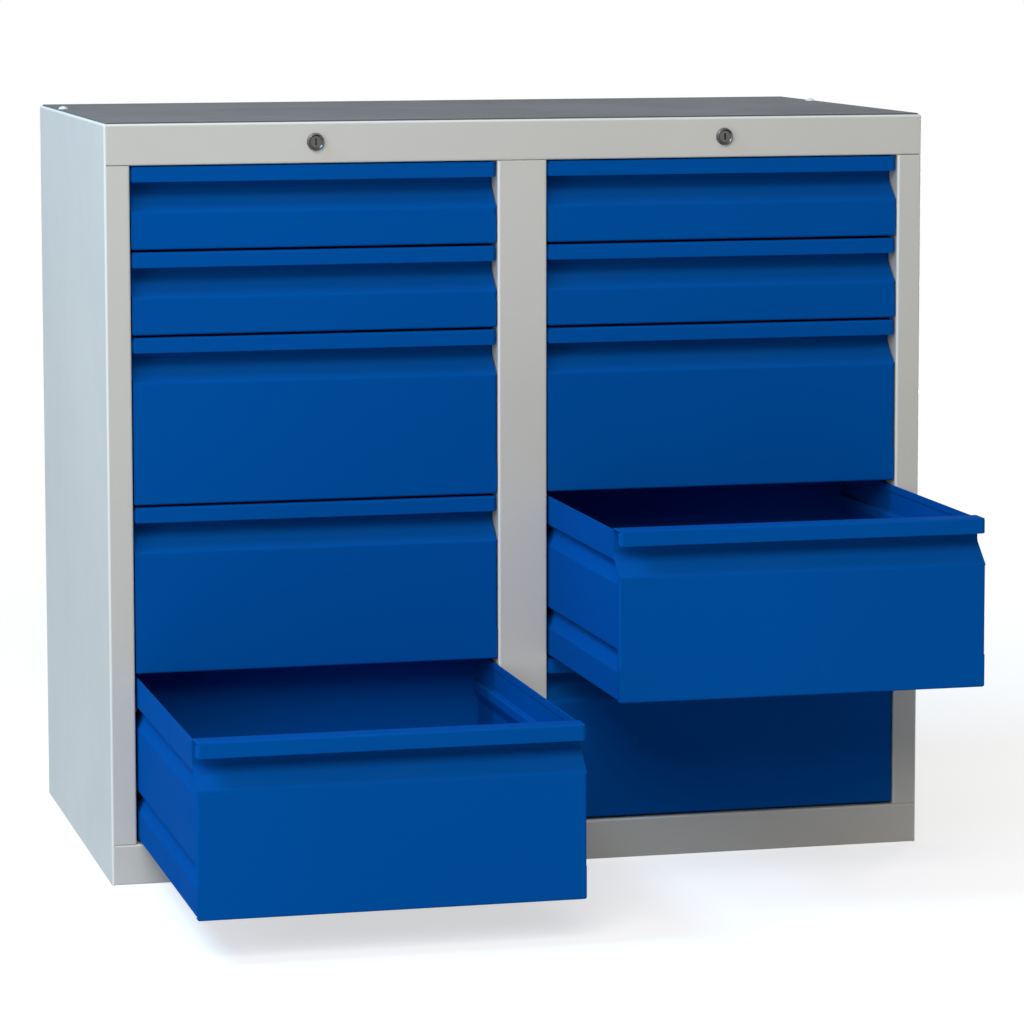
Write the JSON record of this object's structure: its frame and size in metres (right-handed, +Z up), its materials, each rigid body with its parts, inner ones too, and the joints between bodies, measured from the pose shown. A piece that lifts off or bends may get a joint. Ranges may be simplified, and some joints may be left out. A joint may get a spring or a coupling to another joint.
{
  "type": "multi-drawer cabinet",
  "caption": "Steel cabinet with two columns of drawers, full-width grip lips, roller runners, a lock for each column and a mat on top.",
  "frame": {"origin": "on the floor, at the middle of the cabinet body's footprint", "axes": "+X to the right seen from the front, the drawer fronts face -Y, +Z up"},
  "size_m": [1, 0.978, 0.9035],
  "materials": {
    "grey_paint": "satin powder coat",
    "blue_paint": "satin powder coat",
    "top_mat": "matt, fine grain",
    "zinc_steel": "zinc plated",
    "lock_nickel": "dark nickel",
    "white_plastic": "matt nylon"
  },
  "bodies": {
    "carcass": {"side_panel_left": "grey_paint", "side_panel_right": "grey_paint", "back_panel": "grey_paint", "top_cover": "grey_paint", "top_mat": "top_mat", "cover_plugs": "white_plastic", "base_plinth": "grey_paint", "centre_post": "grey_paint", "centre_partition": "grey_paint", "runner_rails_left_outer": "zinc_steel", "runner_rails_left_inner": "zinc_steel", "runner_rails_right_inner": "zinc_steel", "runner_rails_right_outer": "zinc_steel", "lock_housings": "lock_nickel", "lock_nuts": "lock_nickel", "lock_guides": "zinc_steel"},
    "lock_left": {"lock_plug_left": "lock_nickel"},
    "lock_bar_left": {"lock_bar_left": "zinc_steel"},
    "drawer_left_1": {"drawer_front_left_1": "blue_paint", "drawer_box_left_1": "blue_paint"},
    "front_rollers_left_1": {"front_rollers_left_1": "white_plastic"},
    "rear_rollers_left_1": {"rear_rollers_left_1": "white_plastic"},
    "drawer_left_2": {"drawer_front_left_2": "blue_paint", "drawer_box_left_2": "blue_paint"},
    "front_rollers_left_2": {"front_rollers_left_2": "white_plastic"},
    "rear_rollers_left_2": {"rear_rollers_left_2": "white_plastic"},
    "drawer_left_3": {"drawer_front_left_3": "blue_paint", "drawer_box_left_3": "blue_paint"},
    "front_rollers_left_3": {"front_rollers_left_3": "white_plastic"},
    "rear_rollers_left_3": {"rear_rollers_left_3": "white_plastic"},
    "drawer_left_4": {"drawer_front_left_4": "blue_paint", "drawer_box_left_4": "blue_paint"},
    "front_rollers_left_4": {"front_rollers_left_4": "white_plastic"},
    "rear_rollers_left_4": {"rear_rollers_left_4": "white_plastic"},
    "drawer_left_5": {"drawer_front_left_5": "blue_paint", "drawer_box_left_5": "blue_paint"},
    "front_rollers_left_5": {"front_rollers_left_5": "white_plastic"},
    "rear_rollers_left_5": {"rear_rollers_left_5": "white_plastic"},
    "lock_right": {"lock_plug_right": "lock_nickel"},
    "lock_bar_right": {"lock_bar_right": "zinc_steel"},
    "drawer_right_1": {"drawer_front_right_1": "blue_paint", "drawer_box_right_1": "blue_paint"},
    "front_rollers_right_1": {"front_rollers_right_1": "white_plastic"},
    "rear_rollers_right_1": {"rear_rollers_right_1": "white_plastic"},
    "drawer_right_2": {"drawer_front_right_2": "blue_paint", "drawer_box_right_2": "blue_paint"},
    "front_rollers_right_2": {"front_rollers_right_2": "white_plastic"},
    "rear_rollers_right_2": {"rear_rollers_right_2": "white_plastic"},
    "drawer_right_3": {"drawer_front_right_3": "blue_paint", "drawer_box_right_3": "blue_paint"},
    "front_rollers_right_3": {"front_rollers_right_3": "white_plastic"},
    "rear_rollers_right_3": {"rear_rollers_right_3": "white_plastic"},
    "drawer_right_4": {"drawer_front_right_4": "blue_paint", "drawer_box_right_4": "blue_paint"},
    "front_rollers_right_4": {"front_rollers_right_4": "white_plastic"},
    "rear_rollers_right_4": {"rear_rollers_right_4": "white_plastic"},
    "drawer_right_5": {"drawer_front_right_5": "blue_paint", "drawer_box_right_5": "blue_paint"},
    "front_rollers_right_5": {"front_rollers_right_5": "white_plastic"},
    "rear_rollers_right_5": {"rear_rollers_right_5": "white_plastic"}
  },
  "joints": [
    {"name": "lock_left_turn", "type": "hinge", "parent": "carcass", "child": "lock_left", "pos_m": [-0.25, -0.28, 0.875], "axis": [0, 1, 0], "range_deg": [0, 90]},
    {"name": "lock_bar_left_lift", "type": "slide", "parent": "carcass", "child": "lock_bar_left", "axis": [0, 0, 1], "range_m": [0, 0.01202]},
    {"name": "drawer_left_1_slide", "type": "slide", "parent": "carcass", "child": "drawer_left_1", "axis": [0, -1, 0], "range_m": [0, 0.438]},
    {"name": "front_rollers_left_1_spin", "type": "hinge", "parent": "carcass", "child": "front_rollers_left_1", "pos_m": [-0.25, -0.234, 0.8037], "axis": [1, 0, 0], "range_deg": [-1, 3861.85]},
    {"name": "rear_rollers_left_1_spin", "type": "hinge", "parent": "drawer_left_1", "child": "rear_rollers_left_1", "pos_m": [-0.25, 0.219, 0.8037], "axis": [1, 0, 0], "range_deg": [-1, 3861.85]},
    {"name": "drawer_left_2_slide", "type": "slide", "parent": "carcass", "child": "drawer_left_2", "axis": [0, -1, 0], "range_m": [0, 0.438]},
    {"name": "front_rollers_left_2_spin", "type": "hinge", "parent": "carcass", "child": "front_rollers_left_2", "pos_m": [-0.25, -0.234, 0.7037], "axis": [1, 0, 0], "range_deg": [-1, 3861.85]},
    {"name": "rear_rollers_left_2_spin", "type": "hinge", "parent": "drawer_left_2", "child": "rear_rollers_left_2", "pos_m": [-0.25, 0.219, 0.7037], "axis": [1, 0, 0], "range_deg": [-1, 3861.85]},
    {"name": "drawer_left_3_slide", "type": "slide", "parent": "carcass", "child": "drawer_left_3", "axis": [0, -1, 0], "range_m": [0, 0.438]},
    {"name": "front_rollers_left_3_spin", "type": "hinge", "parent": "carcass", "child": "front_rollers_left_3", "pos_m": [-0.25, -0.234, 0.6037], "axis": [1, 0, 0], "range_deg": [-1, 3861.85]},
    {"name": "rear_rollers_left_3_spin", "type": "hinge", "parent": "drawer_left_3", "child": "rear_rollers_left_3", "pos_m": [-0.25, 0.219, 0.6037], "axis": [1, 0, 0], "range_deg": [-1, 3861.85]},
    {"name": "drawer_left_4_slide", "type": "slide", "parent": "carcass", "child": "drawer_left_4", "axis": [0, -1, 0], "range_m": [0, 0.438]},
    {"name": "front_rollers_left_4_spin", "type": "hinge", "parent": "carcass", "child": "front_rollers_left_4", "pos_m": [-0.25, -0.234, 0.4037], "axis": [1, 0, 0], "range_deg": [-1, 3861.85]},
    {"name": "rear_rollers_left_4_spin", "type": "hinge", "parent": "drawer_left_4", "child": "rear_rollers_left_4", "pos_m": [-0.25, 0.219, 0.4037], "axis": [1, 0, 0], "range_deg": [-1, 3861.85]},
    {"name": "drawer_left_5_slide", "type": "slide", "parent": "carcass", "child": "drawer_left_5", "axis": [0, -1, 0], "range_m": [-0.42, 0.018]},
    {"name": "front_rollers_left_5_spin", "type": "hinge", "parent": "carcass", "child": "front_rollers_left_5", "pos_m": [-0.25, -0.234, 0.2037], "axis": [1, 0, 0], "range_deg": [-3703.19, 159.67]},
    {"name": "rear_rollers_left_5_spin", "type": "hinge", "parent": "drawer_left_5", "child": "rear_rollers_left_5", "pos_m": [-0.25, -0.201, 0.2037], "axis": [1, 0, 0], "range_deg": [-3703.19, 159.67]},
    {"name": "lock_right_turn", "type": "hinge", "parent": "carcass", "child": "lock_right", "pos_m": [0.25, -0.28, 0.875], "axis": [0, 1, 0], "range_deg": [0, 90]},
    {"name": "lock_bar_right_lift", "type": "slide", "parent": "carcass", "child": "lock_bar_right", "axis": [0, 0, 1], "range_m": [0, 0.01202]},
    {"name": "drawer_right_1_slide", "type": "slide", "parent": "carcass", "child": "drawer_right_1", "axis": [0, -1, 0], "range_m": [0, 0.438]},
    {"name": "front_rollers_right_1_spin", "type": "hinge", "parent": "carcass", "child": "front_rollers_right_1", "pos_m": [0.25, -0.234, 0.8037], "axis": [1, 0, 0], "range_deg": [-1, 3861.85]},
    {"name": "rear_rollers_right_1_spin", "type": "hinge", "parent": "drawer_right_1", "child": "rear_rollers_right_1", "pos_m": [0.25, 0.219, 0.8037], "axis": [1, 0, 0], "range_deg": [-1, 3861.85]},
    {"name": "drawer_right_2_slide", "type": "slide", "parent": "carcass", "child": "drawer_right_2", "axis": [0, -1, 0], "range_m": [0, 0.438]},
    {"name": "front_rollers_right_2_spin", "type": "hinge", "parent": "carcass", "child": "front_rollers_right_2", "pos_m": [0.25, -0.234, 0.7037], "axis": [1, 0, 0], "range_deg": [-1, 3861.85]},
    {"name": "rear_rollers_right_2_spin", "type": "hinge", "parent": "drawer_right_2", "child": "rear_rollers_right_2", "pos_m": [0.25, 0.219, 0.7037], "axis": [1, 0, 0], "range_deg": [-1, 3861.85]},
    {"name": "drawer_right_3_slide", "type": "slide", "parent": "carcass", "child": "drawer_right_3", "axis": [0, -1, 0], "range_m": [0, 0.438]},
    {"name": "front_rollers_right_3_spin", "type": "hinge", "parent": "carcass", "child": "front_rollers_right_3", "pos_m": [0.25, -0.234, 0.6037], "axis": [1, 0, 0], "range_deg": [-1, 3861.85]},
    {"name": "rear_rollers_right_3_spin", "type": "hinge", "parent": "drawer_right_3", "child": "rear_rollers_right_3", "pos_m": [0.25, 0.219, 0.6037], "axis": [1, 0, 0], "range_deg": [-1, 3861.85]},
    {"name": "drawer_right_4_slide", "type": "slide", "parent": "carcass", "child": "drawer_right_4", "axis": [0, -1, 0], "range_m": [-0.325, 0.113]},
    {"name": "front_rollers_right_4_spin", "type": "hinge", "parent": "carcass", "child": "front_rollers_right_4", "pos_m": [0.25, -0.234, 0.4037], "axis": [1, 0, 0], "range_deg": [-2865.79, 997.07]},
    {"name": "rear_rollers_right_4_spin", "type": "hinge", "parent": "drawer_right_4", "child": "rear_rollers_right_4", "pos_m": [0.25, -0.106, 0.4037], "axis": [1, 0, 0], "range_deg": [-2865.79, 997.07]},
    {"name": "drawer_right_5_slide", "type": "slide", "parent": "carcass", "child": "drawer_right_5", "axis": [0, -1, 0], "range_m": [0, 0.438]},
    {"name": "front_rollers_right_5_spin", "type": "hinge", "parent": "carcass", "child": "front_rollers_right_5", "pos_m": [0.25, -0.234, 0.2037], "axis": [1, 0, 0], "range_deg": [-1, 3861.85]},
    {"name": "rear_rollers_right_5_spin", "type": "hinge", "parent": "drawer_right_5", "child": "rear_rollers_right_5", "pos_m": [0.25, 0.219, 0.2037], "axis": [1, 0, 0], "range_deg": [-1, 3861.85]}
  ],
  "couplings": [
    {"joint": "lock_left_turn", "follows": "lock_bar_left_lift", "rad_per_m": 130.67},
    {"joint": "front_rollers_left_1_spin", "follows": "drawer_left_1_slide", "rad_per_m": 153.85},
    {"joint": "rear_rollers_left_1_spin", "follows": "drawer_left_1_slide", "rad_per_m": 153.85},
    {"joint": "front_rollers_left_2_spin", "follows": "drawer_left_2_slide", "rad_per_m": 153.85},
    {"joint": "rear_rollers_left_2_spin", "follows": "drawer_left_2_slide", "rad_per_m": 153.85},
    {"joint": "front_rollers_left_3_spin", "follows": "drawer_left_3_slide", "rad_per_m": 153.85},
    {"joint": "rear_rollers_left_3_spin", "follows": "drawer_left_3_slide", "rad_per_m": 153.85},
    {"joint": "front_rollers_left_4_spin", "follows": "drawer_left_4_slide", "rad_per_m": 153.85},
    {"joint": "rear_rollers_left_4_spin", "follows": "drawer_left_4_slide", "rad_per_m": 153.85},
    {"joint": "front_rollers_left_5_spin", "follows": "drawer_left_5_slide", "rad_per_m": 153.85},
    {"joint": "rear_rollers_left_5_spin", "follows": "drawer_left_5_slide", "rad_per_m": 153.85},
    {"joint": "lock_right_turn", "follows": "lock_bar_right_lift", "rad_per_m": 130.67},
    {"joint": "front_rollers_right_1_spin", "follows": "drawer_right_1_slide", "rad_per_m": 153.85},
    {"joint": "rear_rollers_right_1_spin", "follows": "drawer_right_1_slide", "rad_per_m": 153.85},
    {"joint": "front_rollers_right_2_spin", "follows": "drawer_right_2_slide", "rad_per_m": 153.85},
    {"joint": "rear_rollers_right_2_spin", "follows": "drawer_right_2_slide", "rad_per_m": 153.85},
    {"joint": "front_rollers_right_3_spin", "follows": "drawer_right_3_slide", "rad_per_m": 153.85},
    {"joint": "rear_rollers_right_3_spin", "follows": "drawer_right_3_slide", "rad_per_m": 153.85},
    {"joint": "front_rollers_right_4_spin", "follows": "drawer_right_4_slide", "rad_per_m": 153.85},
    {"joint": "rear_rollers_right_4_spin", "follows": "drawer_right_4_slide", "rad_per_m": 153.85},
    {"joint": "front_rollers_right_5_spin", "follows": "drawer_right_5_slide", "rad_per_m": 153.85},
    {"joint": "rear_rollers_right_5_spin", "follows": "drawer_right_5_slide", "rad_per_m": 153.85}
  ]
}
